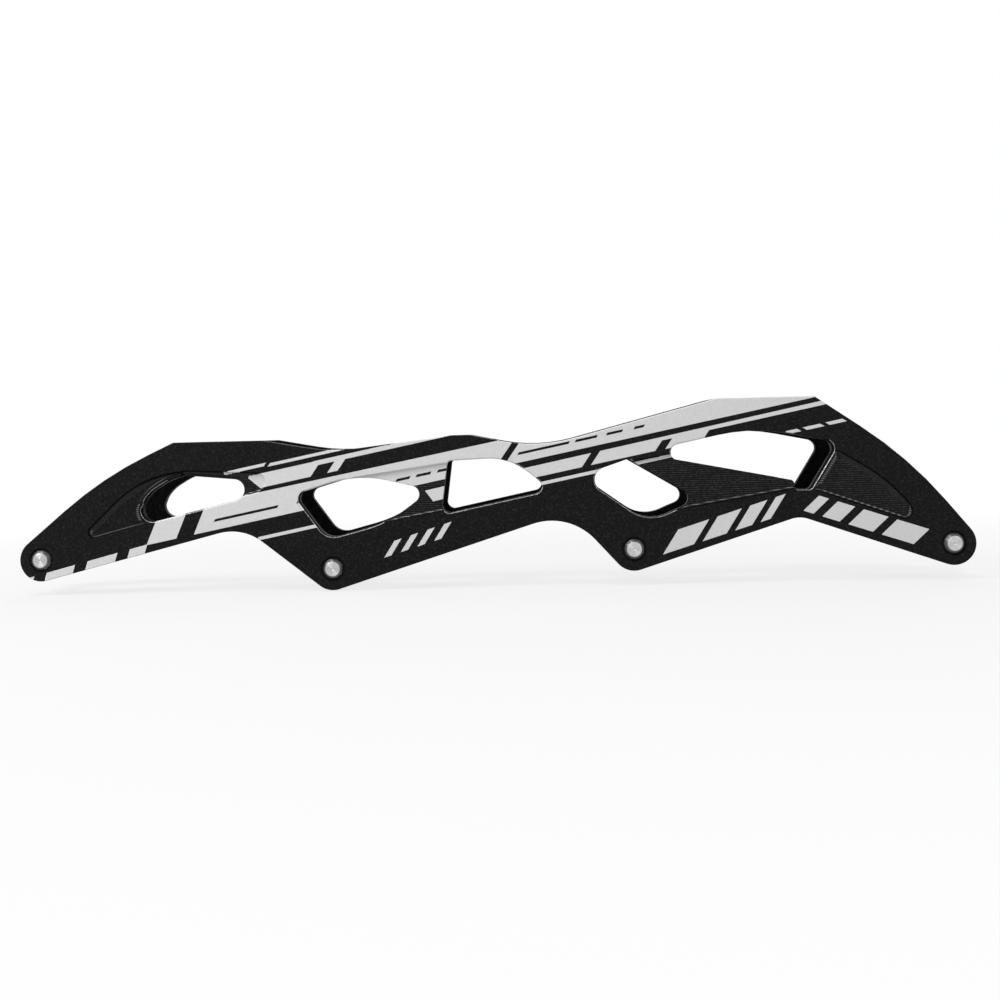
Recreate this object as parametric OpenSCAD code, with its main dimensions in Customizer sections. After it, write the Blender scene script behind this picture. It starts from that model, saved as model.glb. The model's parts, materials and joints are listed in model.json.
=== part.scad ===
// Inline skate frame for three large wheels and one smaller second wheel.
// X runs from toe to heel, Y from the thread side to the head side, Z up.
// Origin: middle of the frame's length and width, at its lowest point.

/* [Wheels] */
// Wheel base, from the first axle to the last
wheel_base = 325.1; // [322:0.1:345]
// Diameter of the first, third and fourth wheels
wheel_d = 110; // [104:1:112]
// Diameter of the smaller second wheel
small_wheel_d = 100; // [94:1:104]
// First axle to second axle, along the frame
axle_gap_1 = 106; // [104:0.5:112]
// Second axle to third axle, along the frame
axle_gap_2 = 107.5; // [104:0.5:114]
// Free room round each tyre
wheel_clearance = 2; // [1:0.5:4]
// Width of a wheel hub with its bearings, between the inner bosses
hub_w = 24.2; // [23:0.1:26]

/* [Channel] */
// Width over the two side walls
frame_w = 36; // [34:0.5:40]
// Thickness of a side wall
wall = 4; // [3:0.25:5]
// Radius of the round end of the wall at each axle
boss_r = 7.7; // [7:0.1:9]
// Radius of the inner boss that the bearing's inner ring meets
inner_boss_r = 6; // [5.5:0.1:6.5]

/* [Mounts] */
// First axle to the front mounting slot, along the frame
front_mount_x = 65.5; // [62:0.5:70]
// Front mounting slot to the rear mounting slot
mount_spacing = 195; // [185:1:205]
// Height of the front mounting face over the axle line
front_mount_h = 41.4; // [39:0.2:45]
// Height of the rear mounting face over the axle line
rear_mount_h = 52.7; // [50:0.1:57]
// Length of the front mounting face
front_pad_l = 33.8; // [28:0.1:36]
// Length of the rear mounting face
rear_pad_l = 35.4; // [30:0.1:38]
// Width of a mounting slot
slot_w = 6.5; // [5.2:0.1:8.5]
// Length of a mounting slot, across the frame
slot_l = 14; // [10:0.5:20]
// Thickness of the bridges that carry the mounting faces
bridge_t = 9; // [6:0.5:11]
// Length of the front bridge, from the front edge of its face
front_bridge_l = 28; // [24:0.5:30]
// Height of the middle bridge over the axle line
middle_h = 41.8; // [39:0.2:45]
// Length of the flat on the middle bridge
middle_flat_l = 7.3; // [5:0.1:12]
// Thickness of the middle bridge
middle_t = 8; // [5:0.5:9]
// Length of the middle bridge
middle_l = 22; // [14:0.5:26]
// How far the middle bridge sits ahead of the midpoint of axles two and three
middle_ahead = 7.1; // [4:0.1:10]

/* [Side walls] */
// Height of the lower edge between axles one and two, over the axle line
arch_1_h = 9; // [6:0.2:10]
// Height of the lower edge between axles two and three, over the axle line
arch_2_h = 10.6; // [7:0.2:12]
// Height of the lower edge between axles three and four, over the axle line
arch_3_h = 10; // [7:0.2:12]
// Depth of the milled pockets in the outer faces
pocket_depth = 1.2; // [0.6:0.1:2]
// Width of the lip that a pocket leaves along a window's end
lip_w = 1.4; // [1:0.1:2]
// How far the front arm's upper edge stands out from the line between its ends
front_arm_out = 6.7; // [5.5:0.1:8]
// Turn of that edge at its middle from the same line, in degrees
front_arm_turn = -6.2; // [-8:0.1:-4]
// Radius of that edge
front_arm_r = 140; // [90:5:150]
// How far the rear arm's upper edge stands out from the line between its ends
rear_arm_out = 7.3; // [6:0.1:8.5]
// Turn of that edge at its middle from the same line, in degrees
rear_arm_turn = 6.9; // [4:0.1:8]
// Radius of that edge
rear_arm_r = 140; // [90:5:150]
// Radius of the rear window's long upper edge
rear_crown_r = 62; // [50:1:70]
// Direction of that edge over the rear mounting slot, in degrees
rear_crown_a = 182; // [180:0.5:183]
// Radius of the rear pocket's long upper edge
rear_pocket_r = 60; // [50:1:70]
// Direction of the rear pocket's upper edge at its middle, in degrees
rear_pocket_a = 144.5; // [143:0.5:146]
// Corner radius at the ends of the mounting faces
edge_r = 0.8; // [0.4:0.1:1.5]

/* [Axles] */
// Diameter of the plain shank that the bearings run on
axle_d = 8; // [7.5:0.1:8.5]
// Diameter of the threaded end
thread_d = 7; // [6:0.1:7.4]
// Diameter of the head
head_d = 12; // [10.5:0.1:13]
// Thickness of the head
head_t = 2.8; // [2.2:0.1:3.4]
// How far the head stands out of the wall
head_proud = 1; // [0.4:0.1:1.5]
// How far the threaded end stands out of the other wall
tip_proud = 1; // [0.4:0.1:1.5]
// Chamfer on the threaded end
tip_chamfer = 0.7; // [0.3:0.1:1]
// Chamfer on the head and round the threaded hole
head_chamfer = 0.4; // [0.2:0.1:0.8]
// Radius of the centre mark in the threaded end
centre_mark_r = 0.6; // [0.3:0.1:1]
// Size of the hexagon socket across its flats
socket_af = 5; // [4:0.1:5.5]
// Depth of the hexagon socket
socket_depth = 3; // [2:0.1:4]
// Radial clearance of an axle in its bores
fit = 0.05; // [0.02:0.01:0.1]
// Radial clearance of a head in its counterbore
head_room = 0.2; // [0.1:0.05:0.4]

/* [Hidden] */
$fn = 48;
anodised_black = "#202022";
turned_silver = "#d2d3d5";

// Overrun of a cut past the face that it starts from
over = 1;
// Largest turn, in degrees, between two points of a round stretch
arc_step = 5;

// Places along the frame, from the first axle
x1 = 0;
x2 = x1 + axle_gap_1;
x3 = x2 + axle_gap_2;
x4 = x1 + wheel_base;
front_x = x1 + front_mount_x;
rear_x = front_x + mount_spacing;
middle_x = (x2 + x3) / 2 - middle_ahead;
// The second axle sits lower, so that all four wheels meet the ground
drop = (wheel_d - small_wheel_d) / 2;
// Axle places as [along, up, wheel diameter]
AXLES = [[x1, 0, wheel_d], [x2, -drop, small_wheel_d], [x3, 0, wheel_d], [x4, 0, wheel_d]];

// Places across the frame
outer_y = frame_w / 2;
inner_y = outer_y - wall;
boss_y = hub_w / 2;
head_y = outer_y + head_proud;
seat_y = head_y - head_t;
tip_y = -outer_y - tip_proud;

// Shift of the drawing to the origin
base_z = drop + boss_r;

// An outline is a list of turns [x, z, r], walked with the solid on the left.
// Each turn is an arc round its centre, and straight tangents join the arcs.
// A negative radius turns the other way, for a hollow stretch.

// A turn that touches the point (x, z) while it heads along angle a
function bend(x, z, a, r) = [x - r * sin(a), z + r * cos(a), r];

// A turn that stands out by out from the middle of the line from p to q
function bulge(p, q, out, skew, r) =
    let (a = atan2(q[1] - p[1], q[0] - p[0]))
    bend((p[0] + q[0]) / 2 + out * sin(a), (p[1] + q[1]) / 2 - out * cos(a), a + skew, r);

function limited(v) = max(-1, min(1, v));

function wrapped(a) = a - 360 * floor((a + 60) / 360);

// Heading of the tangent from turn p to turn q
function heading(p, q) =
    let (along = [q[0] - p[0], q[1] - p[1]])
    atan2(along[1], along[0]) + asin(limited((p[2] - q[2]) / norm(along)));

function sweep(r, a, b) = r > 0 ? wrapped(b - a) : -wrapped(a - b);

// Points of one turn q, between its neighbours p and n
function turn_points(p, q, n) =
    let (
        a = heading(p, q),
        s = sweep(q[2], a, heading(q, n)),
        steps = max(1, ceil(abs(s) / arc_step))
    )
    [for (k = [0:steps]) let (d = a + s * k / steps) [q[0] + q[2] * sin(d), q[1] - q[2] * cos(d)]];

function outline_points(turns) =
    let (last = len(turns) - 1)
    [for (i = [0:last])
        each turn_points(turns[i == 0 ? last : i - 1], turns[i], turns[i == last ? 0 : i + 1])];

module outline(turns) {
    polygon(outline_points(turns));
}

// Corner of a mounting face, with its round edge inside the face
function pad_corner(x, side, z) = [x - side * edge_r, z - edge_r, edge_r];

front_pad = [front_x - front_pad_l / 2, front_x + front_pad_l / 2];
rear_pad = [rear_x - rear_pad_l / 2, rear_x + rear_pad_l / 2];
middle_flat = [middle_x - middle_flat_l / 2, middle_x + middle_flat_l / 2];

WALL_TURNS = [
    [x1, 0, boss_r],
    bend(x2 - 36.5, arch_1_h, 0, -18.2),
    [x2, -drop, boss_r],
    bend(x3 - 29.3, arch_2_h, 0, -21),
    [x3, 0, boss_r],
    bend(x4 - 53.4, arch_3_h, 0, -9.3),
    [x4, 0, boss_r],
    bulge([x4, 0], [rear_pad[1], rear_mount_h], rear_arm_out, rear_arm_turn, rear_arm_r),
    pad_corner(rear_pad[1], 1, rear_mount_h),
    pad_corner(rear_pad[0], -1, rear_mount_h),
    bend(middle_x + 26.4, middle_h - 3.7, 180, -57),
    pad_corner(middle_flat[1], 1, middle_h),
    pad_corner(middle_flat[0], -1, middle_h),
    bend(x2 + 2.5, front_mount_h - 3.9, 180, -65),
    pad_corner(front_pad[1], 1, front_mount_h),
    pad_corner(front_pad[0], -1, front_mount_h),
    bulge([front_pad[0], front_mount_h], [x1, 0], front_arm_out, front_arm_turn, front_arm_r)
];

// The five windows that lighten each wall, from toe to heel
WINDOWS = [
    [
        [front_x - 23.7, front_mount_h - 24, 4.2],
        [front_x + 5.2, front_mount_h - 17.45, 3.8],
        [front_x - 10.7, front_mount_h - 29.5, 17.3],
        [front_x - 15, front_mount_h - 28, 13.8]
    ],
    [
        [x2 - 8.5, 20.2, 2.9],
        [x2 + 1.1, 12.9, 6.4],
        bend(x2 + 17, 10.7, 21, 45),
        [x2 + 28.4, 21, 3.1],
        bend(x2 + 11, 27.25, 180, 40)
    ],
    [
        [middle_x - 4.3, 16.85, 2.6],
        [middle_x + 26, 23, 2.6],
        [middle_x + 9.8, middle_h - 30.6, 22],
        [middle_x - 3.3, middle_h - 10.8, 1.7]
    ],
    [
        [x3 - 9, 24.85, 4.4],
        [x3 + 6.6, 24.3, 13],
        [x3 + 16.3, 17.7, 3.1],
        [x3 - 1.7, 29.8, 2]
    ],
    [
        [x3 + 16.4, rear_mount_h - 18.7, 2.8],
        [rear_x + 8.3, 21.9, -1.5],
        [rear_x + 11, 21, 1],
        [rear_x + 13.8, 22, 2],
        [rear_x + 19.8, rear_mount_h - 18.7, 3.2],
        bend(rear_x - 6.5, rear_mount_h - 11.8, rear_crown_a, rear_crown_r)
    ]
];

// The shallow pockets beside the windows, from toe to heel
POCKETS = [
    [
        [x1 + 19.6, 9.7, 1.9],
        [front_x + 13.5, front_mount_h - 15, 3.3],
        bend(front_x - 10.5, front_mount_h - 10.6, 180, 40)
    ],
    [
        [x2 + 16.5, 12.6, 1.5],
        [middle_x - 1.6, 17.5, 1.5],
        [middle_x - 1.1, middle_h - 10.9, 1.5],
        [x2 + 7, 25.6, 1.5]
    ],
    [
        [x3 + 11.5, 14.8, 1.5],
        [rear_x + 13.5, 22.3, 1.2],
        [x3 + 17.5, rear_mount_h - 20.3, 1.3],
        [x3 - 1.1, 29.4, 1.3]
    ],
    [
        [rear_x + 13.5, 22.6, 1.4],
        [x4 - 16.7, 11.7, 2.5],
        bend(x4 - 27.1, 25.4, rear_pocket_a, rear_pocket_r),
        [rear_x + 20, rear_mount_h - 18.7, 2]
    ]
];

// For each pocket, the number of the window that keeps a lip beside it, and how far
// along the frame that lip runs
LIPS = [[0, front_x - 13.5], [], [], [4, x4]];

// The turns of an outline that stands off by d from another
function grown(turns, d) = [for (t = turns) [t[0], t[1], t[2] + d]];

// Places the side view of the frame on the origin
module placed() {
    translate([-x4 / 2, 0, base_z]) children();
}

// Stands a side view up and gives it a width, centred across the frame
module across(width) {
    rotate([90, 0, 0]) linear_extrude(height = width, center = true) children();
}

// A round along the frame's width, from y0 to y1
module cross_round(place, r, y0, y1) {
    translate([place[0], y0, place[1]]) rotate([-90, 0, 0]) cylinder(r = r, h = y1 - y0);
}

// Side view of a bridge, cut away where the wheels turn
module bridge_side(x, length, top, thickness) {
    difference() {
        translate([x, top - thickness]) square([length, thickness + over]);
        for (a = AXLES) translate([a[0], a[1]]) circle(r = a[2] / 2 + wheel_clearance, $fn = 96);
    }
}

// Side view of the room between the walls, with the bridges left standing
module channel_side() {
    difference() {
        translate([x1 - 2 * boss_r, -base_z - over])
            square([x4 + 4 * boss_r, base_z + rear_mount_h + 2 * over]);
        bridge_side(front_pad[0], front_bridge_l, front_mount_h, bridge_t);
        bridge_side(middle_x - middle_l / 2, middle_l, middle_h, middle_t);
        bridge_side(rear_pad[0], rear_pad_l, rear_mount_h, bridge_t);
    }
}

module walls_and_bridges() {
    difference() {
        across(frame_w) difference() {
            outline(WALL_TURNS);
            for (w = WINDOWS) outline(w);
        }
        across(2 * inner_y) channel_side();
    }
}

module inner_bosses() {
    for (a = AXLES) {
        cross_round(a, inner_boss_r, -inner_y - over, -boss_y);
        cross_round(a, inner_boss_r, boss_y, inner_y + over);
    }
}

// Side view of one pocket, less the lip along its window
module pocket_side(i) {
    difference() {
        outline(POCKETS[i]);
        if (len(LIPS[i]) > 0) intersection() {
            outline(grown(WINDOWS[LIPS[i][0]], lip_w));
            translate([x1, -base_z]) square([LIPS[i][1] - x1, base_z + rear_mount_h]);
        }
    }
}

// Milled pockets, the same in both outer faces
module pockets() {
    for (side = [0, 1]) mirror([0, side, 0])
        translate([0, pocket_depth - outer_y, 0]) rotate([90, 0, 0])
            for (i = [0:len(POCKETS) - 1]) linear_extrude(height = pocket_depth + over) pocket_side(i);
}

// Bores of one axle: threaded hole, plain hole and the head's counterbore
module axle_bores(a) {
    cross_round(a, thread_d / 2 + fit, -outer_y - over, 0);
    cross_round(a, axle_d / 2 + fit, 0, outer_y + over);
    cross_round(a, head_d / 2 + head_room, seat_y, outer_y + over);
    translate([a[0], -outer_y, a[1]]) rotate([-90, 0, 0])
        cylinder(r1 = thread_d / 2 + fit + head_chamfer, r2 = thread_d / 2 + fit, h = head_chamfer);
}

// Slot across the frame, through the bridge whose face is at height z
module mount_slot(x, z) {
    half = (slot_l - slot_w) / 2;
    depth = bridge_t + 2 * over;
    translate([x, 0, z + over - depth]) {
        translate([-slot_w / 2, -half, 0]) cube([slot_w, 2 * half, depth]);
        for (y = [-half, half]) translate([0, y, 0]) cylinder(d = slot_w, h = depth);
    }
}

module frame_body() {
    color(anodised_black) placed() difference() {
        union() {
            walls_and_bridges();
            inner_bosses();
        }
        pockets();
        for (a = AXLES) axle_bores(a);
        mount_slot(front_x, front_mount_h);
        mount_slot(rear_x, rear_mount_h);
    }
}

// Half section of an axle as [radius, y], from the centre mark to the head
function axle_section() =
    let (
        shank_r = axle_d / 2,
        thread_r = thread_d / 2,
        head_r = head_d / 2,
        shoulder_y = fit - boss_y
    )
    [
        [0, tip_y + centre_mark_r],
        [centre_mark_r, tip_y],
        [thread_r - tip_chamfer, tip_y],
        [thread_r, tip_y + tip_chamfer],
        [thread_r, shoulder_y],
        [shank_r, shoulder_y],
        [shank_r, seat_y],
        [head_r, seat_y],
        [head_r, head_y - head_chamfer],
        [head_r - head_chamfer, head_y],
        [0, head_y]
    ];

module axle(a) {
    color(turned_silver) placed() translate([a[0], 0, a[1]]) rotate([-90, 0, 0]) difference() {
        rotate_extrude() polygon(axle_section());
        translate([0, 0, head_y - socket_depth])
            cylinder(d = socket_af / cos(30), h = socket_depth + over, $fn = 6);
    }
}

module axle_1() { axle(AXLES[0]); }
module axle_2() { axle(AXLES[1]); }
module axle_3() { axle(AXLES[2]); }
module axle_4() { axle(AXLES[3]); }

frame_body();
axle_1();
axle_2();
axle_3();
axle_4();
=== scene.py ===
import json
import math

import bmesh
import bpy
import numpy as np
from mathutils import Matrix, Vector
from mathutils.geometry import delaunay_2d_cdt


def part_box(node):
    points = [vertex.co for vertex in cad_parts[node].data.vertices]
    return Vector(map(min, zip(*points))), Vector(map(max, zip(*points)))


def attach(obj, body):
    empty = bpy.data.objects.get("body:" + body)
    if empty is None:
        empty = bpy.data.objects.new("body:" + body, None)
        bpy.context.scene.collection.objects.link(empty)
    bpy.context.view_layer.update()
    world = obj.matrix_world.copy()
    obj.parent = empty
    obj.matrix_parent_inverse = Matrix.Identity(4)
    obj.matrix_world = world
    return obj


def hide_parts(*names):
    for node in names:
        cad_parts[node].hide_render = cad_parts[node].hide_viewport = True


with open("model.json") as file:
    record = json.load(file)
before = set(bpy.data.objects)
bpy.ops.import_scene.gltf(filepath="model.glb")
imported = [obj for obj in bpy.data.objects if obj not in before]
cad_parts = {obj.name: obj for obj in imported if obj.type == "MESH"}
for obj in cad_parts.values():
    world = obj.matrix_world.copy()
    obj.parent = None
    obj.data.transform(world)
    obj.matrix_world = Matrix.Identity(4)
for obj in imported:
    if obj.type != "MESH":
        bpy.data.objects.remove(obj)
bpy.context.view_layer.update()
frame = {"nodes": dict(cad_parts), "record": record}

MM = 0.001

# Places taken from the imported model, in metres
AXLES = ["axle_1", "axle_2", "axle_3", "axle_4"]
_, body_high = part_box("frame_body")
OUTER_Y = body_high.y
POCKET_DEPTH = 1.2 * MM
POCKET_Y = OUTER_Y - POCKET_DEPTH
MOUNT_NAMES = ("front_mount_face", "rear_mount_face")
MOUNT_Z = [m["pos_m"][2] for m in frame["record"]["mounts"] if m["name"] in MOUNT_NAMES]

# Chamfers, in metres
OUTER_CHAMFER = 0.30 * MM
WINDOW_CHAMFER = 0.45 * MM
FLOOR_CHAMFER = 0.22 * MM
SLOT_CHAMFER = 0.50 * MM
# Where a window's chamfer is broad, toe to heel, the way that its wall faces, and its width
BROAD_CHAMFERS = [
    (-128 * MM, -95 * MM, 1, 0.95 * MM),
    (-75 * MM, -45 * MM, 1, 0.80 * MM),
    (95 * MM, 135 * MM, -1, 1.05 * MM),
]
# A hole's chamfer that is wider than this is as dark as the wall, up to its line: the walls' painted shade
BROAD_FROM = 2 * OUTER_CHAMFER
# The line at the top of a chamfer, which carries the painted highlight on a window's chamfer that does not
# face down: its width, the most of the chamfer that it takes, and its slope
BRIGHT_LINE = 0.28 * MM
LINE_SHARE = 0.6
LINE_SLOPE = 0.5
# A hole's chamfer whose normal points down more than this has no bright line of painted highlight
FACING_DOWN = -0.4
# Vertices from the wall to the flat side across a chamfer
CHAMFER_POINTS = 3
# A pocket's rim, where its wall faces along the frame, and where it faces up or down
RIM_ALONG = 0.30 * MM
RIM_LEVEL = 0.50 * MM
# A wall that goes deeper than this is a window's, and a shallower one is a pocket's
DEEP = 1.5 * MM
# The cove at the foot of a pocket's wall: its width, how much wider it is under a wall that faces down,
# its height as a share of its width and at most, its rows of faces, and those that get a painted highlight
COVE_WIDE = 1.35 * MM
COVE_SWING = 0.65 * MM
COVE_STEEP = 0.62
COVE_HIGH = 0.65 * MM
COVE_ROWS = 8
HIGHLIT_ROWS = (4, 5, 6)
# Where the cove under a wall that faces down is narrow, toe to heel, and its width there
NARROW_FROM, NARROW_TO = 50 * MM, 90 * MM
COVE_NARROW = 0.30 * MM
# The most of the room across a pocket's floor that a cove takes
ROOM_SHARE = 0.45
# The cutter's rows show on the pocket floors from here to the heel
ROWS_FROM = -90 * MM
# Walls whose coves get the painted highlight, by the height of their normal, there and nearer to the toe
HIGHLIGHT_FACING = (-0.6, 1.0)
TOE_HIGHLIGHT_FACING = (-0.6, 0.45)
# Longest stretch of an edge between two points of its cut
STRETCH = 1.5 * MM
# A cut is smaller at a sharp turn, and in a bend that is tight for it. It grows back along the edge, within
# a reach of some cut widths.
SHARP_TURN = math.radians(50)
CORNER_SHARE = 0.25
BEND_SHARE = 0.85
GROWTH = 0.5
REACH = 2
# Least divisor of the way off the edge, which is longer at a turn
TURN_LIMIT = 0.35
# Where the edges of cuts would cross, the cuts get this much smaller, time after time
LESSEN = 0.7
LESSEN_TIMES = 16
# Angles between faces that still shade smoothly
SMOOTH_SHELL = math.radians(25)
SMOOTH_AXLE = math.radians(28)
SMOOTH_SEAM = 0.01

# Tolerances of the solid: three in metres, one of a normal, and an angle
WELD = 2e-6
TOUCHING = 1e-6
SAME_LEVEL = 5e-6
SAME_NORMAL = 1e-3
SAME_PLANE = math.radians(0.2)
# Tolerances of the drawing, in millimetres, or as shares of a side
NO_CUT = 1e-6
OWN_SIDE = 1e-4
SAME_POINT = 1e-5
PARALLEL = 1e-12
NEARLY_PARALLEL = 1e-9
NEAR_END = 0.002
AT_END = 1e-6
LEAST_SPLIT = 1e-4

# Material slots of the frame
BLACK, SILVER, MILLED, EDGE_HIGHLIGHT, COVED, SHADED_WALL, ROW_HIGHLIGHT = range(7)
# Scale of the bead-blasted grain, and of the cutter's rows and their ends along x, y and z
GRAIN_SCALE = 1400
ROW_SCALE = (70, 70, 410)
ROW_END_SCALE = (70, 70, 420)


def principled(name):
    mat = bpy.data.materials.new(name)
    mat.use_nodes = True
    nodes = mat.node_tree.nodes
    return mat, nodes, mat.node_tree.links, nodes["Principled BSDF"]


def add(nodes, kind, **values):
    """A new node. A value goes to the input of that name, or else to the setting."""
    node = nodes.new(kind)
    for key, value in values.items():
        if key in node.inputs:
            node.inputs[key].default_value = value
        else:
            setattr(node, key, value)
    return node


def noise(nodes, links, coords, scale, detail=3.0, rough=0.6):
    tex = add(nodes, "ShaderNodeTexNoise", Scale=scale, Detail=detail, Roughness=rough)
    links.new(coords, tex.inputs["Vector"])
    return tex.outputs["Fac"]


def ramp(nodes, links, fac, stops):
    """Greys at the given places of a ramp."""
    node = add(nodes, "ShaderNodeValToRGB")
    elements = node.color_ramp.elements
    while len(elements) < len(stops):
        elements.new(0.5)
    for element, (place, grey) in zip(elements, stops):
        element.position = place
        element.color = (grey, grey, grey, 1)
    links.new(fac, node.inputs["Fac"])
    return node.outputs["Color"]


def mapped(nodes, links, fac, low, high):
    node = add(nodes, "ShaderNodeMapRange")
    node.inputs["To Min"].default_value = low
    node.inputs["To Max"].default_value = high
    links.new(fac, node.inputs["Value"])
    return node.outputs["Result"]


def stretched(nodes, links, coords, scale):
    node = add(nodes, "ShaderNodeMapping")
    node.inputs["Scale"].default_value = scale
    links.new(coords, node.inputs["Vector"])
    return node.outputs["Vector"]


def bump(nodes, links, height, shader, strength, distance, below=None):
    node = add(nodes, "ShaderNodeBump", Strength=strength, Distance=distance)
    links.new(height, node.inputs["Height"])
    if below is not None:
        links.new(below.outputs["Normal"], node.inputs["Normal"])
    links.new(node.outputs["Normal"], shader.inputs["Normal"])
    return node


def black_skin(name):
    """A black anodised surface with a bead-blasted grain, for more detail."""
    mat, nodes, links, shader = principled(name)
    coords = add(nodes, "ShaderNodeTexCoord").outputs["Object"]
    grain = noise(nodes, links, coords, GRAIN_SCALE, detail=2.0, rough=0.7)
    cloud = noise(nodes, links, coords, 55, detail=4.0, rough=0.55)
    links.new(mapped(nodes, links, cloud, 0.42, 0.56), shader.inputs["Roughness"])
    return mat, nodes, links, shader, coords, grain


def speckled(name, speckle, gloss):
    """Black anodising whose grain runs from dark to light."""
    mat, nodes, links, shader, _, grain = black_skin(name)
    links.new(ramp(nodes, links, grain, speckle), shader.inputs["Base Color"])
    shader.inputs["Specular IOR Level"].default_value = gloss
    bump(nodes, links, grain, shader, strength=0.35, distance=0.02 * MM)
    return mat


def anodised():
    """The outer faces."""
    return speckled("black_anodised", [(0.34, 0.0015), (0.54, 0.0045), (0.70, 0.020)], 0.10)


def painted_shade_wall():
    """The walls of the windows and of the channel, and the lower strips of chamfers beside them: deep black
    and dull, a darker copy of the anodising as painted shade.
    """
    return speckled("painted_shade_wall", [(0.34, 0.001), (0.54, 0.0025), (0.70, 0.010)], 0.04)


def milled():
    """The floors of the pockets: level rows that the cutter left, under the same anodising."""
    mat, nodes, links, shader, coords, grain = black_skin("milled_pocket")
    rows = add(nodes, "ShaderNodeTexWave", Scale=1.0, Distortion=1.6, Detail=2.0)
    rows.bands_direction = "Z"
    rows.inputs["Detail Scale"].default_value = 1.5
    links.new(stretched(nodes, links, coords, ROW_SCALE), rows.inputs["Vector"])
    both = add(nodes, "ShaderNodeMath", operation="MULTIPLY")
    links.new(rows.outputs["Fac"], both.inputs[0])
    links.new(grain, both.inputs[1])
    speckle = [(0.10, 0.0010), (0.36, 0.0050), (0.60, 0.046)]
    links.new(ramp(nodes, links, both.outputs["Value"], speckle), shader.inputs["Base Color"])
    shader.inputs["Specular IOR Level"].default_value = 0.12
    grained = bump(nodes, links, grain, shader, strength=0.35, distance=0.02 * MM)
    bump(nodes, links, rows.outputs["Fac"], shader, strength=0.8, distance=0.06 * MM, below=grained)
    return mat


def cove_skin():
    """The rounded foot of a pocket's wall, which a ball cutter leaves smooth and shiny."""
    mat, nodes, links, shader, _, grain = black_skin("pocket_cove")
    speckle = [(0.34, 0.0015), (0.54, 0.005), (0.70, 0.020)]
    links.new(ramp(nodes, links, grain, speckle), shader.inputs["Base Color"])
    links.new(mapped(nodes, links, grain, 0.20, 0.34), shader.inputs["Roughness"])
    shader.inputs["Specular IOR Level"].default_value = 0.22
    bump(nodes, links, grain, shader, strength=0.2, distance=0.02 * MM)
    return mat


def row_end_highlight():
    """A painted highlight on rows of the cove round a pocket's floor, dotted where the cutter's rows end."""
    mat, nodes, links, shader = principled("row_end_highlight")
    coords = add(nodes, "ShaderNodeTexCoord").outputs["Object"]
    rows = add(nodes, "ShaderNodeTexWave", Scale=1.0, Distortion=0.6, Detail=1.0)
    rows.bands_direction = "Z"
    links.new(stretched(nodes, links, coords, ROW_END_SCALE), rows.inputs["Vector"])
    dotted_highlight = [(0.25, 0.02), (0.60, 0.06), (0.90, 0.16)]
    links.new(ramp(nodes, links, rows.outputs["Fac"], dotted_highlight), shader.inputs["Base Color"])
    links.new(mapped(nodes, links, rows.outputs["Fac"], 0.45, 0.28), shader.inputs["Roughness"])
    shader.inputs["Metallic"].default_value = 0.8
    bump(nodes, links, rows.outputs["Fac"], shader, strength=0.3, distance=0.04 * MM)
    return mat


def etched():
    """Bare aluminium that a laser has opened in the anodising: pale, matt and finely grained."""
    mat, nodes, links, shader = principled("etched_silver")
    coords = add(nodes, "ShaderNodeTexCoord").outputs["Object"]
    grain = noise(nodes, links, coords, 2200, detail=2.0, rough=0.7)
    cloud = noise(nodes, links, coords, 40, detail=3.0, rough=0.5)
    speckle = [(0.25, 0.58), (0.5, 0.63), (0.75, 0.68)]
    links.new(ramp(nodes, links, grain, speckle), shader.inputs["Base Color"])
    links.new(mapped(nodes, links, cloud, 0.52, 0.66), shader.inputs["Roughness"])
    shader.inputs["Metallic"].default_value = 0.25
    shader.inputs["Specular IOR Level"].default_value = 0.3
    bump(nodes, links, grain, shader, strength=0.2, distance=0.02 * MM)
    return mat


def highlit_edge():
    """The top strip of a window's chamfer that does not face down: a painted highlight, paler and more
    metallic than the anodising, a little worn.
    """
    mat, nodes, links, shader = principled("painted_edge_highlight")
    coords = add(nodes, "ShaderNodeTexCoord").outputs["Object"]
    wear_and_glint = noise(nodes, links, coords, 900, detail=3.0, rough=0.65)
    highlight_greys = [(0.35, 0.07), (0.55, 0.19), (0.72, 0.42)]
    links.new(ramp(nodes, links, wear_and_glint, highlight_greys), shader.inputs["Base Color"])
    links.new(mapped(nodes, links, wear_and_glint, 0.42, 0.25), shader.inputs["Roughness"])
    shader.inputs["Metallic"].default_value = 0.5
    bump(nodes, links, wear_and_glint, shader, strength=0.2, distance=0.02 * MM)
    return mat


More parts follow.
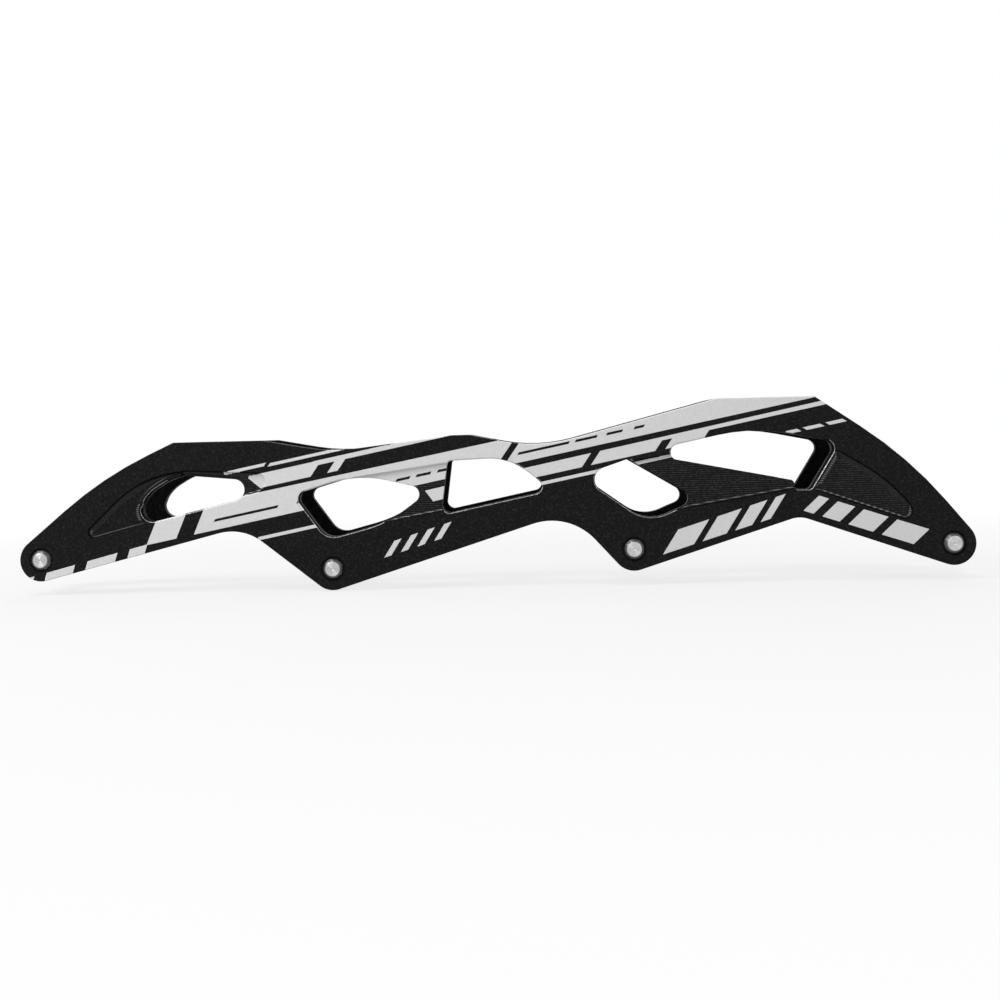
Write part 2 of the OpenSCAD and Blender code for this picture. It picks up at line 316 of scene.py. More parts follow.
def turned_steel(name, low, high):
    """Steel off a lathe: fine rings round the axis of the piece, between two greys."""
    mat, nodes, links, shader = principled(name)
    coords = add(nodes, "ShaderNodeTexCoord").outputs["Object"]
    parts = add(nodes, "ShaderNodeSeparateXYZ")
    links.new(coords, parts.inputs["Vector"])
    flat = add(nodes, "ShaderNodeCombineXYZ")
    links.new(parts.outputs["X"], flat.inputs["X"])
    links.new(parts.outputs["Z"], flat.inputs["Y"])
    length = add(nodes, "ShaderNodeVectorMath", operation="LENGTH")
    links.new(flat.outputs["Vector"], length.inputs[0])
    along = add(nodes, "ShaderNodeMath", operation="ADD")
    links.new(length.outputs["Value"], along.inputs[0])
    links.new(parts.outputs["Y"], along.inputs[1])
    rings = add(nodes, "ShaderNodeTexNoise", Scale=5200.0, Detail=2.0, Roughness=0.6)
    rings.noise_dimensions = "1D"
    links.new(along.outputs["Value"], rings.inputs["W"])
    tone = ramp(nodes, links, rings.outputs["Fac"], [(0.3, low), (0.7, high)])
    links.new(tone, shader.inputs["Base Color"])
    smear = noise(nodes, links, coords, 300)
    links.new(mapped(nodes, links, smear, 0.34, 0.46), shader.inputs["Roughness"])
    shader.inputs["Metallic"].default_value = 1.0
    shader.inputs["Anisotropic"].default_value = 0.85
    shader.inputs["Anisotropic Rotation"].default_value = 0.25
    tangent = add(nodes, "ShaderNodeTangent", direction_type="RADIAL", axis="Y")
    links.new(tangent.outputs["Tangent"], shader.inputs["Tangent"])
    bump(nodes, links, rings.outputs["Fac"], shader, strength=0.25, distance=0.03 * MM)
    return mat


# The stripes are drawn in millimetres on the side view, x to the heel and z up.
# A stripe rises along the frame. Its place t is its height over the line z = rise * x.
RISE = 0.1989
EDGE_RISE = 0.259
LEFT_RAIL_RISE = 0.313
RIGHT_RAIL_RISE = -0.33
# How far the ends of a stripe lean over to the heel, for each millimetre up
SLASH = 0.79
STEEP = 0.46
BLOCK_LEAN = 0.35
DASH_LEAN = 0.6
REAR_DASH_LEAN = -1.3


def slat(x0, x1, t0, t1, lean=SLASH, end=None, rise=RISE):
    """Corners of one stripe: x0 to x1 on its lower edge, with leaning ends."""
    end = lean if end is None else end
    high = t1 - t0
    flat = [(x0, t0), (x1, t0), (x1 + end * high, t1), (x0 + lean * high, t1)]
    return [(x, t + rise * x) for x, t in flat]


SILVER_AREAS = [
    # blocks along the lower edge of the front arm
    slat(-177.0, -166.7, 45.0, 49.7, BLOCK_LEAN, rise=EDGE_RISE),
    slat(-162.1, -151.7, 45.0, 49.7, BLOCK_LEAN, rise=EDGE_RISE),
    slat(-147.1, -136.1, 45.0, 49.7, BLOCK_LEAN, rise=EDGE_RISE),
    slat(-131.9, -125.5, 44.0, 49.7, BLOCK_LEAN, rise=EDGE_RISE),
    # the long band from the front arm to the rear mounting face
    slat(-123.8, -112.9, 42.05, 52.2, STEEP),
    slat(-106.5, 125.0, 42.05, 52.2, STEEP),
    # the second band, with its thin tail and slash
    slat(-82.3, -63.8, 53.5, 58.6, -0.95, SLASH),
    slat(-64.0, -8.0, 57.05, 58.75),
    slat(-57.8, -54.0, 53.5, 57.6),
    # thin lines above it
    slat(-94.6, -80.6, 60.95, 62.05, 0.0, SLASH),
    slat(-79.2, -48.0, 60.45, 61.55),
    # thin line on the arch and the wedge between two windows
    slat(-84.0, -58.0, 34.9, 36.1),
    [(-22.9, 34.9), (-20.1, 31.0), (-14.0, 32.4), (-14.0, 36.8)],
    # the rear half, under the dark line
    slat(6.0, 33.1, 35.55, 40.3),
    slat(36.3, 59.1, 35.55, 40.3),
    slat(55.0, 125.0, 38.7, 40.3),
    slat(62.6, 75.6, 35.4, 38.9),
    slat(12.0, 46.0, 32.3, 33.5),
    slat(46.0, 66.0, 32.0, 33.2),
    # short dashes over the rear window
    slat(106.4, 110.4, 31.15, 32.35, REAR_DASH_LEAN),
    slat(112.4, 118.5, 31.15, 32.35, REAR_DASH_LEAN),
    slat(120.3, 126.3, 31.15, 32.35, REAR_DASH_LEAN),
]
# plain slanted bars on the rails between the axles: wide to narrow, narrow to wide, and four alike
for start, wide in ((61.0, 11.0), (75.0, 8.5), (86.5, 6.0), (95.5, 3.5)):
    SILVER_AREAS.append(slat(start, start + wide, -8.5, -1.5, rise=LEFT_RAIL_RISE))
for start, wide in ((110.5, 3.5), (117.0, 6.0), (126.0, 8.5), (137.5, 11.0)):
    SILVER_AREAS.append(slat(start, start + wide, 61.6, 68.6, rise=RIGHT_RAIL_RISE))
for start in (-38.0, -32.0, -26.0, -20.0):
    SILVER_AREAS.append(slat(start, start + 2.6, 23.2, 28.0, rise=LEFT_RAIL_RISE))
DARK_AREAS = [
    # the gaps over the long band and under it, which widen along the frame
    [(x, t + RISE * x) for x, t in ((-95, 52.1), (14, 51.45), (14, 52.3), (-95, 52.3))],
    [(x, t + RISE * x) for x, t in ((6, 39.65), (128, 40.3), (128, 40.5), (6, 40.5))],
    # a line in two lengths, then dashes on both sides of a slash
    slat(-99.2, -76.1, 45.0, 45.95, DASH_LEAN),
    slat(-69.2, -62.0, 45.0, 45.95, DASH_LEAN),
    slat(-33.5, -28.5, 44.9, 45.85, DASH_LEAN),
    slat(-26.3, -21.0, 44.9, 45.85, DASH_LEAN),
    slat(-18.6, -12.0, 44.9, 45.85, DASH_LEAN),
    slat(2.2, 5.3, 42.0, 53.0, 0.82),
    slat(10.3, 28.6, 44.8, 45.7, DASH_LEAN),
    slat(30.7, 38.5, 44.8, 45.7, DASH_LEAN),
    slat(41.8, 47.5, 44.8, 45.7, DASH_LEAN),
    slat(51.6, 55.2, 44.8, 45.7, DASH_LEAN),
]


def inside(points, polygon):
    """Which of the points, an (n, 2) array, lie inside a polygon."""
    found = np.zeros(len(points), bool)
    x, y = points[:, 0], points[:, 1]
    for (ax, ay), (bx, by) in zip(polygon, polygon[1:] + polygon[:1]):
        if ay == by:
            continue
        over = (ay > y) != (by > y)
        found ^= over & (x < (bx - ax) * (y - ay) / (by - ay) + ax)
    return found


def within(points, polygons):
    """Which of the points lie inside any of the polygons."""
    found = np.zeros(len(points), bool)
    for p in polygons:
        found |= inside(points, p)
    return found


def segments_cross(p, q, a, b):
    """Share of the way from p to q where it meets the segment a to b, or None."""
    dx, dy = q[0] - p[0], q[1] - p[1]
    ex, ey = b[0] - a[0], b[1] - a[1]
    den = dx * ey - dy * ex
    if abs(den) < PARALLEL:
        return None
    s = ((a[0] - p[0]) * ey - (a[1] - p[1]) * ex) / den
    r = ((a[0] - p[0]) * dy - (a[1] - p[1]) * dx) / den
    return s if NEAR_END < s < 1 - NEAR_END and 0 <= r <= 1 else None


class Plane:
    """A flat side of the frame: turns its points to the drawing's millimetres and back."""

    def __init__(self, axis, level, sign):
        self.axis, self.level, self.sign = axis, level, sign

    def flat(self, co):
        if self.axis == 1:
            return (-self.sign * co.x / MM, co.z / MM)
        return (co.x / MM, co.y / MM)

    def solid(self, p, depth=0.0):
        at = self.level - self.sign * depth
        if self.axis == 1:
            return Vector((-self.sign * p[0] * MM, at, p[1] * MM))
        return Vector((p[0] * MM, p[1] * MM, at))

    def drawing(self, polygons):
        """The stripes as this side shows them."""
        if self.axis == 1 and self.sign > 0:
            return [[(-x, z) for x, z in p] for p in polygons]
        return polygons

    def holds(self, face):
        return abs(face.normal[self.axis] - self.sign) < SAME_NORMAL and all(
            abs(v.co[self.axis] - self.level) < SAME_LEVEL for v in face.verts
        )


class Stripes:
    """The stripes on a flat side, and the lines that they cut into it."""

    def __init__(self, plane, striped):
        self.silver = plane.drawing(SILVER_AREAS) if striped else []
        self.dark = plane.drawing(DARK_AREAS) if striped else []
        self.areas = self.silver + self.dark
        self.lines = [(p, q) for area in self.areas for p, q in zip(area, area[1:] + area[:1])]

    def bright(self, spots):
        return within(spots, self.silver) & ~within(spots, self.dark)

    def marks(self, p, q):
        """Shares of the way from p to q where it meets a stripe's line, in order."""
        shares = [segments_cross(p, q, a, b) for a, b in self.lines]
        return sorted({round(s, 6) for s in shares if s is not None})


class Station:
    """One point of a cut edge: its vertices from the wall to the flat side, its place, and its cut's size.

    The edge after it may belong to a pocket's wall, and its cove may have a painted highlight of row ends.
    """

    def __init__(self, column, top, size, pocket, lit):
        self.column, self.top, self.size = column, top, size
        self.pocket, self.lit = pocket, lit


def boundary_loops(faces):
    """Closed runs round a set of faces, on their left: vertices, each with the face across its edge."""
    chosen = set(faces)
    ahead = {}
    for f in faces:
        for loop in f.loops:
            others = [g for g in loop.edge.link_faces if g is not f]
            across = others[0] if others else None
            if across not in chosen:
                ahead.setdefault(loop.vert, []).append((loop.link_loop_next.vert, across))
    loops = []
    while ahead:
        start = next(iter(ahead))
        run, v = [], start
        while v in ahead:
            options = ahead[v]
            after, across = options.pop()
            if not options:
                del ahead[v]
            run.append((v, across))
            v = after
            if v is start:
                break
        loops.append(run)
    return loops


def divide(bm, edge):
    """Splits a long edge into equal stretches."""
    here, end = edge.verts
    for left in range(math.ceil(edge.calc_length() / STRETCH), 1, -1):
        _, here = bmesh.utils.edge_split(edge, here, 1 / left)
        edge = bm.edges.get((here, end))


def signed_area(points):
    return sum(a[0] * b[1] - b[0] * a[1] for a, b in zip(points, points[1:] + points[:1])) / 2


def leftward(a, b, c):
    """Way to the left at b, on the path from a to c, longer where the path turns."""
    u = Vector((b[0] - a[0], b[1] - a[1])).normalized()
    w = Vector((c[0] - b[0], c[1] - b[1])).normalized()
    return Vector((-u.y - w.y, u.x + w.x)) / max(1 + u.dot(w), TURN_LIMIT)


def room_across(points, outlines):
    """Distance from each point, to the left of its path, to the first side of the outlines there."""
    ends = [np.array(o) for o in outlines]
    start = np.concatenate(ends)
    side = np.concatenate([np.roll(e, -1, 0) - e for e in ends])
    rooms = []
    for i, p in enumerate(points):
        way = leftward(points[i - 1], p, points[(i + 1) % len(points)]).normalized()
        off = start - p
        den = way.x * side[:, 1] - way.y * side[:, 0]
        den[np.abs(den) < NEARLY_PARALLEL] = NEARLY_PARALLEL
        far = (off[:, 0] * side[:, 1] - off[:, 1] * side[:, 0]) / den
        along = (off[:, 0] * way.y - off[:, 1] * way.x) / den
        met = far[(far > OWN_SIDE) & (along >= 0) & (along <= 1)]
        rooms.append(met.min() if len(met) else math.inf)
    return rooms


def cut_sizes(points, full):
    """Size of the cut at each point: as asked, smaller at corners and in tight bends, 0 at bare points."""
    n = len(points)
    reach = REACH * max(abs(f) for f in full)
    stops = []
    for i in range(n):
        a, b, c = points[i - 1], points[i], points[(i + 1) % n]
        turn = math.atan2(
            (b[0] - a[0]) * (c[1] - b[1]) - (b[1] - a[1]) * (c[0] - b[0]),
            (b[0] - a[0]) * (c[0] - b[0]) + (b[1] - a[1]) * (c[1] - b[1]),
        )
        short = min(math.dist(a, b), math.dist(b, c))
        if full[i] == 0:
            stops.append((i, 0.0))
        elif abs(turn) > SHARP_TURN:
            stops.append((i, CORNER_SHARE * abs(full[i])))
        elif turn * abs(full[i]) > BEND_SHARE * short:
            stops.append((i, BEND_SHARE * short / turn))
    sizes = [abs(f) for f in full]
    for i, value in stops:
        sizes[i] = min(sizes[i], value)
        for step in (1, -1):
            gone, j = 0.0, i
            for _ in range(n - 1):
                k = (j + step) % n
                gone += math.dist(points[j], points[k])
                if gone > reach:
                    break
                sizes[k] = min(sizes[k], value + GROWTH * gone)
                j = k
    return [math.copysign(size, f) for size, f in zip(sizes, full)]


def stood_off(points, sizes):
    """The points moved to their left by their own sizes."""
    out = []
    n = len(points)
    for i in range(n):
        a, b, c = points[i - 1], points[i], points[(i + 1) % n]
        step = abs(sizes[i]) * leftward(a, b, c)
        out.append((b[0] + step.x, b[1] + step.y))
    return out


def cross(a, b):
    return a[..., 0] * b[..., 1] - a[..., 1] * b[..., 0]


def uncross(outlines, plans):
    """Lessens the sizes where the cut edges would cross each other or turn back."""
    ways = np.concatenate([np.roll(np.array(o), -1, 0) - np.array(o) for o in outlines])
    for _ in range(LESSEN_TIMES):
        tops = [np.array(stood_off(o, sizes)) for o, sizes in zip(outlines, plans)]
        start = np.concatenate(tops)
        step = np.concatenate([np.roll(t, -1, 0) - t for t in tops])
        apart = start[None] - start[:, None]
        den = cross(step[:, None], step[None])
        den[np.abs(den) < PARALLEL] = math.inf
        here = cross(apart, step[None]) / den
        there = cross(apart, step[:, None]) / den
        met = (here > AT_END) & (here < 1 - AT_END) & (there > AT_END) & (there < 1 - AT_END)
        bad = met.any(1) | ((step * ways).sum(1) < 0)
        if not bad.any():
            return
        first = 0
        for sizes in plans:
            for i in np.flatnonzero(bad[first:first + len(sizes)]):
                sizes[i] *= LESSEN
                sizes[(i + 1) % len(sizes)] *= LESSEN
            first += len(sizes)


def rise_across(plane, across):
    """How far the wall across an edge goes up from the flat side, or down below 0."""
    if across is None:
        return 0.0
    return max((plane.sign * (v.co[plane.axis] - plane.level) for v in across.verts), key=abs)


def outer_cut(plane, hole, across):
    """Chamfer of an outer face: along its outline, round a pocket, or round a window."""
    rise = rise_across(plane, across)
    if rise > -TOUCHING:
        return 0.0
    if not hole:
        return OUTER_CHAMFER
    if rise > -DEEP:
        return RIM_ALONG + (RIM_LEVEL - RIM_ALONG) * abs(across.normal.z)
    size = WINDOW_CHAMFER
    for toe, heel, facing, broad in BROAD_CHAMFERS:
        if toe < across.calc_center_median().x < heel:
            size += (broad - WINDOW_CHAMFER) * max(0.0, facing * across.normal.x)
    return size


def floor_cut(plane, hole, across):
    """Chamfer of a pocket's floor round a window, or, below 0, width of the cove under its wall."""
    rise = rise_across(plane, across)
    if rise > TOUCHING:
        if across.normal.z < 0 and NARROW_FROM < across.calc_center_median().x < NARROW_TO:
            return -COVE_NARROW
        return COVE_SWING * across.normal.z - COVE_WIDE
    return FLOOR_CHAMFER if rise < -TOUCHING else 0.0


def slot_cut(plane, hole, across):
    """Chamfer of a mounting slot's mouth."""
    return SLOT_CHAMFER if hole and rise_across(plane, across) < -TOUCHING else 0.0


def takes_row_highlight(wall):
    """Whether the cove under a pocket's wall gets a painted highlight, by which way the wall faces."""
    low, high = HIGHLIGHT_FACING if wall.calc_center_median().x > ROWS_FROM else TOE_HIGHLIGHT_FACING
    return low < wall.normal.z <= high


def cove_height(size):
    return min(COVE_STEEP * abs(size), COVE_HIGH / MM)


def column(bm, plane, low, top, size):
    """Vertices from the wall to the flat side: across a chamfer, a cove if the size is below 0, or no cut."""
    if abs(size) < NO_CUT:
        return [low]
    foot = plane.flat(low.co)
    if size > 0:
        line = min(BRIGHT_LINE / MM, LINE_SHARE * size)
        steps = [(1 - line / size, LINE_SLOPE * line)]
    else:
        turns = [0.5 * math.pi * k / COVE_ROWS for k in range(1, COVE_ROWS)]
        steps = [(1 - math.cos(t), cove_height(size) * (math.sin(t) - 1)) for t in turns]
    verts = [low]
    for out, down in steps:
        p = (foot[0] + out * (top[0] - foot[0]), foot[1] + out * (top[1] - foot[1]))
        verts.append(bm.verts.new(plane.solid(p, down * MM)))
    return verts + [bm.verts.new(plane.solid(top))]


def stitched(left, right):
    """Corners of the faces between two such columns."""
    if len(left) == len(right):
        rows = range(len(left) - 1)
        return [(left[k], right[k], right[k + 1], left[k + 1]) for k in rows]
    if len(left) == 1:
        return [(left[0], right[k], right[k + 1]) for k in range(len(right) - 1)]
    return [(left[k], right[0], left[k + 1]) for k in range(len(left) - 1)]


def planned_sizes(plane, loops, outlines, sizing, striped):
    """Sizes of the cuts at all points of the outlines. Windows' walls get their painted-shade material on the
    way.
    """
    plans = []
    for run, outline in zip(loops, outlines):
        hole = signed_area(outline) < 0
        if hole and striped:
            for _, across in run:
                if rise_across(plane, across) < -DEEP:
                    across.material_index = SHADED_WALL
        asked = [sizing(plane, hole, across) / MM for _, across in run]
        before = asked[-1:] + asked[:-1]
        full = [(a + b) / 2 if a * b > 0 else 0.0 for a, b in zip(asked, before)]
        if min(full) < 0:
            rooms = room_across(outline, outlines)
            full = [math.copysign(min(abs(f), ROOM_SHARE * room), f) for f, room in zip(full, rooms)]
        plans.append(cut_sizes(outline, full))
    uncross(outlines, plans)
    return plans


def cut_stations(bm, plane, run, tops, sizes, stripes, pocketed):
    """Lowers an outline's vertices, splits its edges where stripes cross, and gives its stations."""
    verts = [v for v, _ in run]
    for v, size in zip(verts, sizes):
        down = size if size > 0 else -cove_height(size)
        v.co[plane.axis] -= plane.sign * down * MM
    stations = []
    for i, (v, wall) in enumerate(run):
        j = (i + 1) % len(run)
        pocket = pocketed and -DEEP < rise_across(plane, wall) < 0
        lit = wall is not None and takes_row_highlight(wall)
        stations.append(Station(column(bm, plane, v, tops[i], sizes[i]), tops[i], sizes[i], pocket, lit))
        p, q = tops[i], tops[j]
        edge = bm.edges.get((v, verts[j]))
        here, done = v, 0.0
        for s in stripes.marks(p, q):
            share = (s - done) / (1 - done)
            if edge is None or share < LEAST_SPLIT:
                continue
            edge, new = bmesh.utils.edge_split(edge, here, share)
            edge = bm.edges.get((new, verts[j]))
            here, done = new, s
            top = (p[0] + s * (q[0] - p[0]), p[1] + s * (q[1] - p[1]))
            size = sizes[i] + s * (sizes[j] - sizes[i])
            stations.append(Station(column(bm, plane, new, top, size), top, size, pocket, lit))
    return stations


def face_strips(bm, plane, stations, hole, stripes):
    """Makes the faces of a cut edge, from each station to the next, with their materials."""
    for i, here in enumerate(stations):
        after = stations[(i + 1) % len(stations)]
        coved = max(len(here.column), len(after.column)) > CHAMFER_POINTS
        broad = hole and max(here.size, after.size) > BROAD_FROM / MM
        strips = stitched(here.column, after.column)
        for k, corners in enumerate(strips):
            highest = k == len(strips) - 1
            face = bm.faces.new(corners)
            face.normal_update()
            middle = np.array([plane.flat(face.calc_center_median())])
            # Broad chamfers below their line, pocket rims, and window chamfers below their top strip get the
            # walls' painted shade
            if broad and not highest:
                face.material_index = SHADED_WALL
            elif stripes.bright(middle)[0]:
                face.material_index = SILVER
            # Coves under walls that face up or sideways get a painted highlight on some of their rows
            elif coved:
                face.material_index = ROW_HIGHLIGHT if here.lit and k in HIGHLIT_ROWS else COVED
            elif here.pocket:
                face.material_index = SHADED_WALL
            # A hole's chamfer that faces down stays black, and one that does not gets a painted highlight on
            # its top strip
            elif not hole or face.normal.z < FACING_DOWN:
                face.material_index = BLACK
            else:
                face.material_index = EDGE_HIGHLIGHT if highest else SHADED_WALL


def fill_flat(bm, plane, rims, owners, stripes, base):
    """Fills a flat side between its rims, whose vertices are the owners, with the stripes cut into it."""
    points, edges = [], []
    for run in rims + stripes.areas:
        first = len(points)
        points += run
        edges += [(first + i, first + (i + 1) % len(run)) for i in range(len(run))]
    flat, _, tris, origins, _, _ = delaunay_2d_cdt([Vector(p) for p in points], edges, [], 0, SAME_POINT)
    centres = np.array([[sum(flat[i][k] for i in t) / 3 for k in (0, 1)] for t in tris])
    solid = np.zeros(len(tris), bool)
    for rim in rims:
        solid ^= inside(centres, rim)
    made = {}

    def vertex(i):
        if i not in made:
            kept = [o for o in origins[i] if o < len(owners)]
            made[i] = owners[kept[0]] if kept else bm.verts.new(plane.solid(flat[i]))
        return made[i]

    for t, keep, pale in zip(tris, solid, stripes.bright(centres)):
        if not keep:
            continue
        corners = [vertex(i) for i in t]
        if len(set(corners)) == 3 and not bm.faces.get(corners):
            face = bm.faces.new(corners)
            plain = base if face.calc_center_median().x > ROWS_FROM else BLACK
            face.material_index = SILVER if pale else plain
    for a, b in edges[:len(owners)]:
        edge = bm.edges.get((owners[a], owners[b]))
        if edge is not None:
            edge.seam = True


def reface(bm, plane, sizing, base, striped):
    """Replaces a flat side by one with cut edges, and cuts the stripes into it as their own material."""
    faces = [f for f in bm.faces if plane.holds(f)]
    chosen = set(faces)
    for edge in {e for f in faces for e in f.edges if not chosen.issuperset(e.link_faces)}:
        divide(bm, edge)
    loops = boundary_loops(faces)
    bmesh.ops.delete(bm, geom=faces, context="FACES_ONLY")
    outlines = [[plane.flat(v.co) for v, _ in run] for run in loops]
    plans = planned_sizes(plane, loops, outlines, sizing, striped)
    stripes = Stripes(plane, striped)
    rims, owners = [], []
    for run, outline, sizes in zip(loops, outlines, plans):
        hole = signed_area(outline) < 0
        tops = stood_off(outline, sizes)
        stations = cut_stations(bm, plane, run, tops, sizes, stripes, striped and hole)
        face_strips(bm, plane, stations, hole, stripes)
        rims.append([s.top for s in stations])
        owners += [s.column[-1] for s in stations]
    fill_flat(bm, plane, rims, owners, stripes, base)


def shade(bm, angle):
    """Smooth shading, with sharp edges at corners and where a cut edge meets a flat side."""
    for f in bm.faces:
        f.smooth = True
    for e in bm.edges:
        turn = e.calc_face_angle(0.0) if len(e.link_faces) == 2 else math.pi
        e.smooth = turn < (SMOOTH_SEAM if e.seam else angle)


def mesh_piece(name, bm, materials):
    mesh = bpy.data.meshes.new(name)
    bm.to_mesh(mesh)
    bm.free()
    piece = bpy.data.objects.new(name, mesh)
    bpy.context.scene.collection.objects.link(piece)
    for m in materials:
        mesh.materials.append(m)
    return piece


def build_shell():
    """The machined frame: the CAD node's mesh with chamfered edges, coves and etched stripes."""
    bm = bmesh.new()
    bm.from_mesh(frame["nodes"]["frame_body"].data)
    bmesh.ops.remove_doubles(bm, verts=bm.verts, dist=WELD)
    bmesh.ops.dissolve_limit(bm, angle_limit=SAME_PLANE, verts=bm.verts, edges=bm.edges)
    # Faces inside the channel get the walls' painted shade, and the others plain anodising
    for f in bm.faces:
        inward = f.normal.y * f.calc_center_median().y < -TOUCHING
        f.material_index = SHADED_WALL if inward else BLACK
    for sign in (-1, 1):
        reface(bm, Plane(1, sign * POCKET_Y, sign), floor_cut, MILLED, True)
        reface(bm, Plane(1, sign * OUTER_Y, sign), outer_cut, BLACK, True)
    for z in MOUNT_Z:
        reface(bm, Plane(2, z, 1), slot_cut, BLACK, False)
    bm.normal_update()
    shade(bm, SMOOTH_SHELL)
    skins = [anodised(), etched(), milled(), highlit_edge(), cove_skin(), painted_shade_wall(), row_end_highlight()]
    return mesh_piece("frame_shell", bm, skins)


# An axle, in millimetres along its own axis from the frame's middle
SEGMENTS = 72
TIP, HEAD = -19.0, 19.0
TIP_FLAT = 2.6
SHOULDER = -12.05
SEAT = 16.2
THREAD_R, SHANK_R, HEAD_R = 3.5, 4.0, 6.0
# The plain tip before the thread, the relief behind it, and the neck under the head
LEAD_R, RELIEF_R, NECK_R = 3.35, 3.05, 3.9
THREAD_PITCH, THREAD_DEPTH = 1.0, 0.5
THREAD_FROM, THREAD_TO = TIP + 1.2, SHOULDER - 0.9
THREAD_STEPS = 42
# The groove round the head and the ring groove in its face
GROOVE_FROM, GROOVE_TO, GROOVE_R = 17.1, 17.55, 5.92
RING_OUT, RING_IN, RING_DEPTH = 4.9, 4.55, 0.06
SOCKET_FLAT = 2.5
SOCKET_MOUTH = 2.95
SOCKET_FLOOR = 16.0
# Radius of a point, and the length of the end outside the tip's flat face that gets painted shade
POINT_R = 0.02
SHADED_END = 1.5
CLOSE = 1e-4


def hexagon(angle):
    """Radius of the socket at an angle."""
    wedge = (angle + math.pi / 6) % (math.pi / 3) - math.pi / 6
    return SOCKET_FLAT / math.cos(wedge)


def thread(y):
    """Radius of the thread at height y: a triangular ridge that climbs with the angle."""
    def radius(angle):
        phase = (y / THREAD_PITCH + angle / (2 * math.pi)) % 1
        return THREAD_R - THREAD_DEPTH * abs(2 * phase - 1)
    return radius


def axle_rings():
    """(height, radius) rings from the tip to the floor of the socket. A radius may depend on the angle."""
    # the tip: a centre mark, a flat face and a chamfer
    rings = [(TIP + 0.25, POINT_R), (TIP, 0.4), (TIP, 1.2), (TIP, 2.0), (TIP, TIP_FLAT)]
    rings += [(TIP + 0.04, 2.68), (TIP + 0.85, 3.3), (TIP + 0.95, LEAD_R), (TIP + 1.05, LEAD_R)]
    for i in range(THREAD_STEPS + 1):
        y = THREAD_FROM + (THREAD_TO - THREAD_FROM) * i / THREAD_STEPS
        rings.append((y, thread(y)))
    # the relief behind the thread, the shoulder, the shank and the neck
    rings += [(SHOULDER - 0.7, RELIEF_R), (SHOULDER - 0.25, RELIEF_R), (SHOULDER, 3.3), (SHOULDER, 3.7)]
    rings += [(SHOULDER + 0.3, SHANK_R), (0.0, SHANK_R), (SEAT - 0.5, SHANK_R)]
    rings += [(SEAT - 0.35, NECK_R), (SEAT, NECK_R)]
    # the head, with a groove round it and a chamfer
    rings += [(SEAT, 5.85), (SEAT + 0.15, HEAD_R), (GROOVE_FROM, HEAD_R), (GROOVE_FROM + 0.1, GROOVE_R)]
    rings += [(GROOVE_TO - 0.1, GROOVE_R), (GROOVE_TO, HEAD_R)]
    rings += [(HEAD - 0.42, HEAD_R), (HEAD - 0.35, 5.97), (HEAD - 0.03, 5.63), (HEAD, 5.55)]
    # its face, with a ring groove
    rings += [(HEAD, RING_OUT), (HEAD - RING_DEPTH, RING_OUT - 0.05)]
    rings += [(HEAD - RING_DEPTH, RING_IN + 0.05), (HEAD, RING_IN)]
    # the socket
    rings += [(HEAD, SOCKET_MOUTH + 0.05), (HEAD - 0.05, SOCKET_MOUTH), (HEAD - 0.35, hexagon)]
    rings += [(SOCKET_FLOOR, hexagon), (SOCKET_FLOOR, 2.2), (SOCKET_FLOOR - 0.5, POINT_R)]
    return rings


def shaded_between(a, b):
    """Whether the faces between two rows of vertices belong to the end with painted shade."""
    heights = [row[0].co.y / MM for row in (a, b)]
    radii = [row[0].co.x / MM for row in (a, b)]
    near_tip = TIP < min(heights) + CLOSE and max(heights) < TIP + SHADED_END
    return near_tip and min(radii) > TIP_FLAT - CLOSE


def build_axle(node, materials):
    """One axle round its own axis, in bright steel with painted shade on the chamfer ring at its tip, put in
    its node's place.
    """
    low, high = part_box(node)
    centre = (low + high) / 2
    bm = bmesh.new()
    rows = []
    for y, radius in axle_rings():
        row = []
        for k in range(SEGMENTS):
            a = 2 * math.pi * k / SEGMENTS
            r = radius(a) if callable(radius) else radius
            row.append(bm.verts.new((r * math.cos(a) * MM, y * MM, r * math.sin(a) * MM)))
        rows.append(row)
    for a, b in zip(rows, rows[1:]):
        skin = int(shaded_between(a, b))
        for k in range(SEGMENTS):
            n = (k + 1) % SEGMENTS
            bm.faces.new((a[k], b[k], b[n], a[n])).material_index = skin
    bm.faces.new(rows[0])
    bm.faces.new(rows[-1])
    bmesh.ops.recalc_face_normals(bm, faces=bm.faces)
    shade(bm, SMOOTH_AXLE)
    piece = mesh_piece(node + "_turned", bm, materials)
    piece.location = (centre.x, 0, centre.z)
    return piece


shell = build_shell()
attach(shell, "frame")
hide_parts("frame_body")

# The second steel is a darker copy: painted shade for the dark ring in the tip's chamfer
steel = [turned_steel("turned_steel", 0.46, 0.66), turned_steel("turned_steel_shaded", 0.10, 0.20)]
for i, node in enumerate(AXLES, 1):
    axle = build_axle(node, steel)
    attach(axle, f"axle_body_{i}")
    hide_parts(node)


# The stage, in metres: the floor's half width and how far it lies under the object
FLOOR_HALF = 6.0
FLOOR_DROP = 0.0003
# Share of plain white in what the camera sees of the floor beside the object, and how fast it falls off
FLOOR_GLOW = 0.78
GLOW_FALL = (1.6, 1.6, 1.6)
WHITE = (1, 1, 1, 1)
SOFT_LIGHT = 0.50
# Lamps: name, place, the point that it faces and its width, in metres, and its power in watts
LAMPS = [
    ("key", (-0.55, -0.48, 0.48), (-0.05, 0, 0.03), 0.35, 2.8),
    ("top", (-0.35, -0.5, 1.1), (-0.03, 0, 0.03), 0.35, 5),
    ("fill", (0.9, -1.0, 0.7), (0, 0, 0.03), 0.6, 1.4),
    ("back", (0.1, 1.2, 1.0), (0, 0, 0.03), 0.9, 6),
]
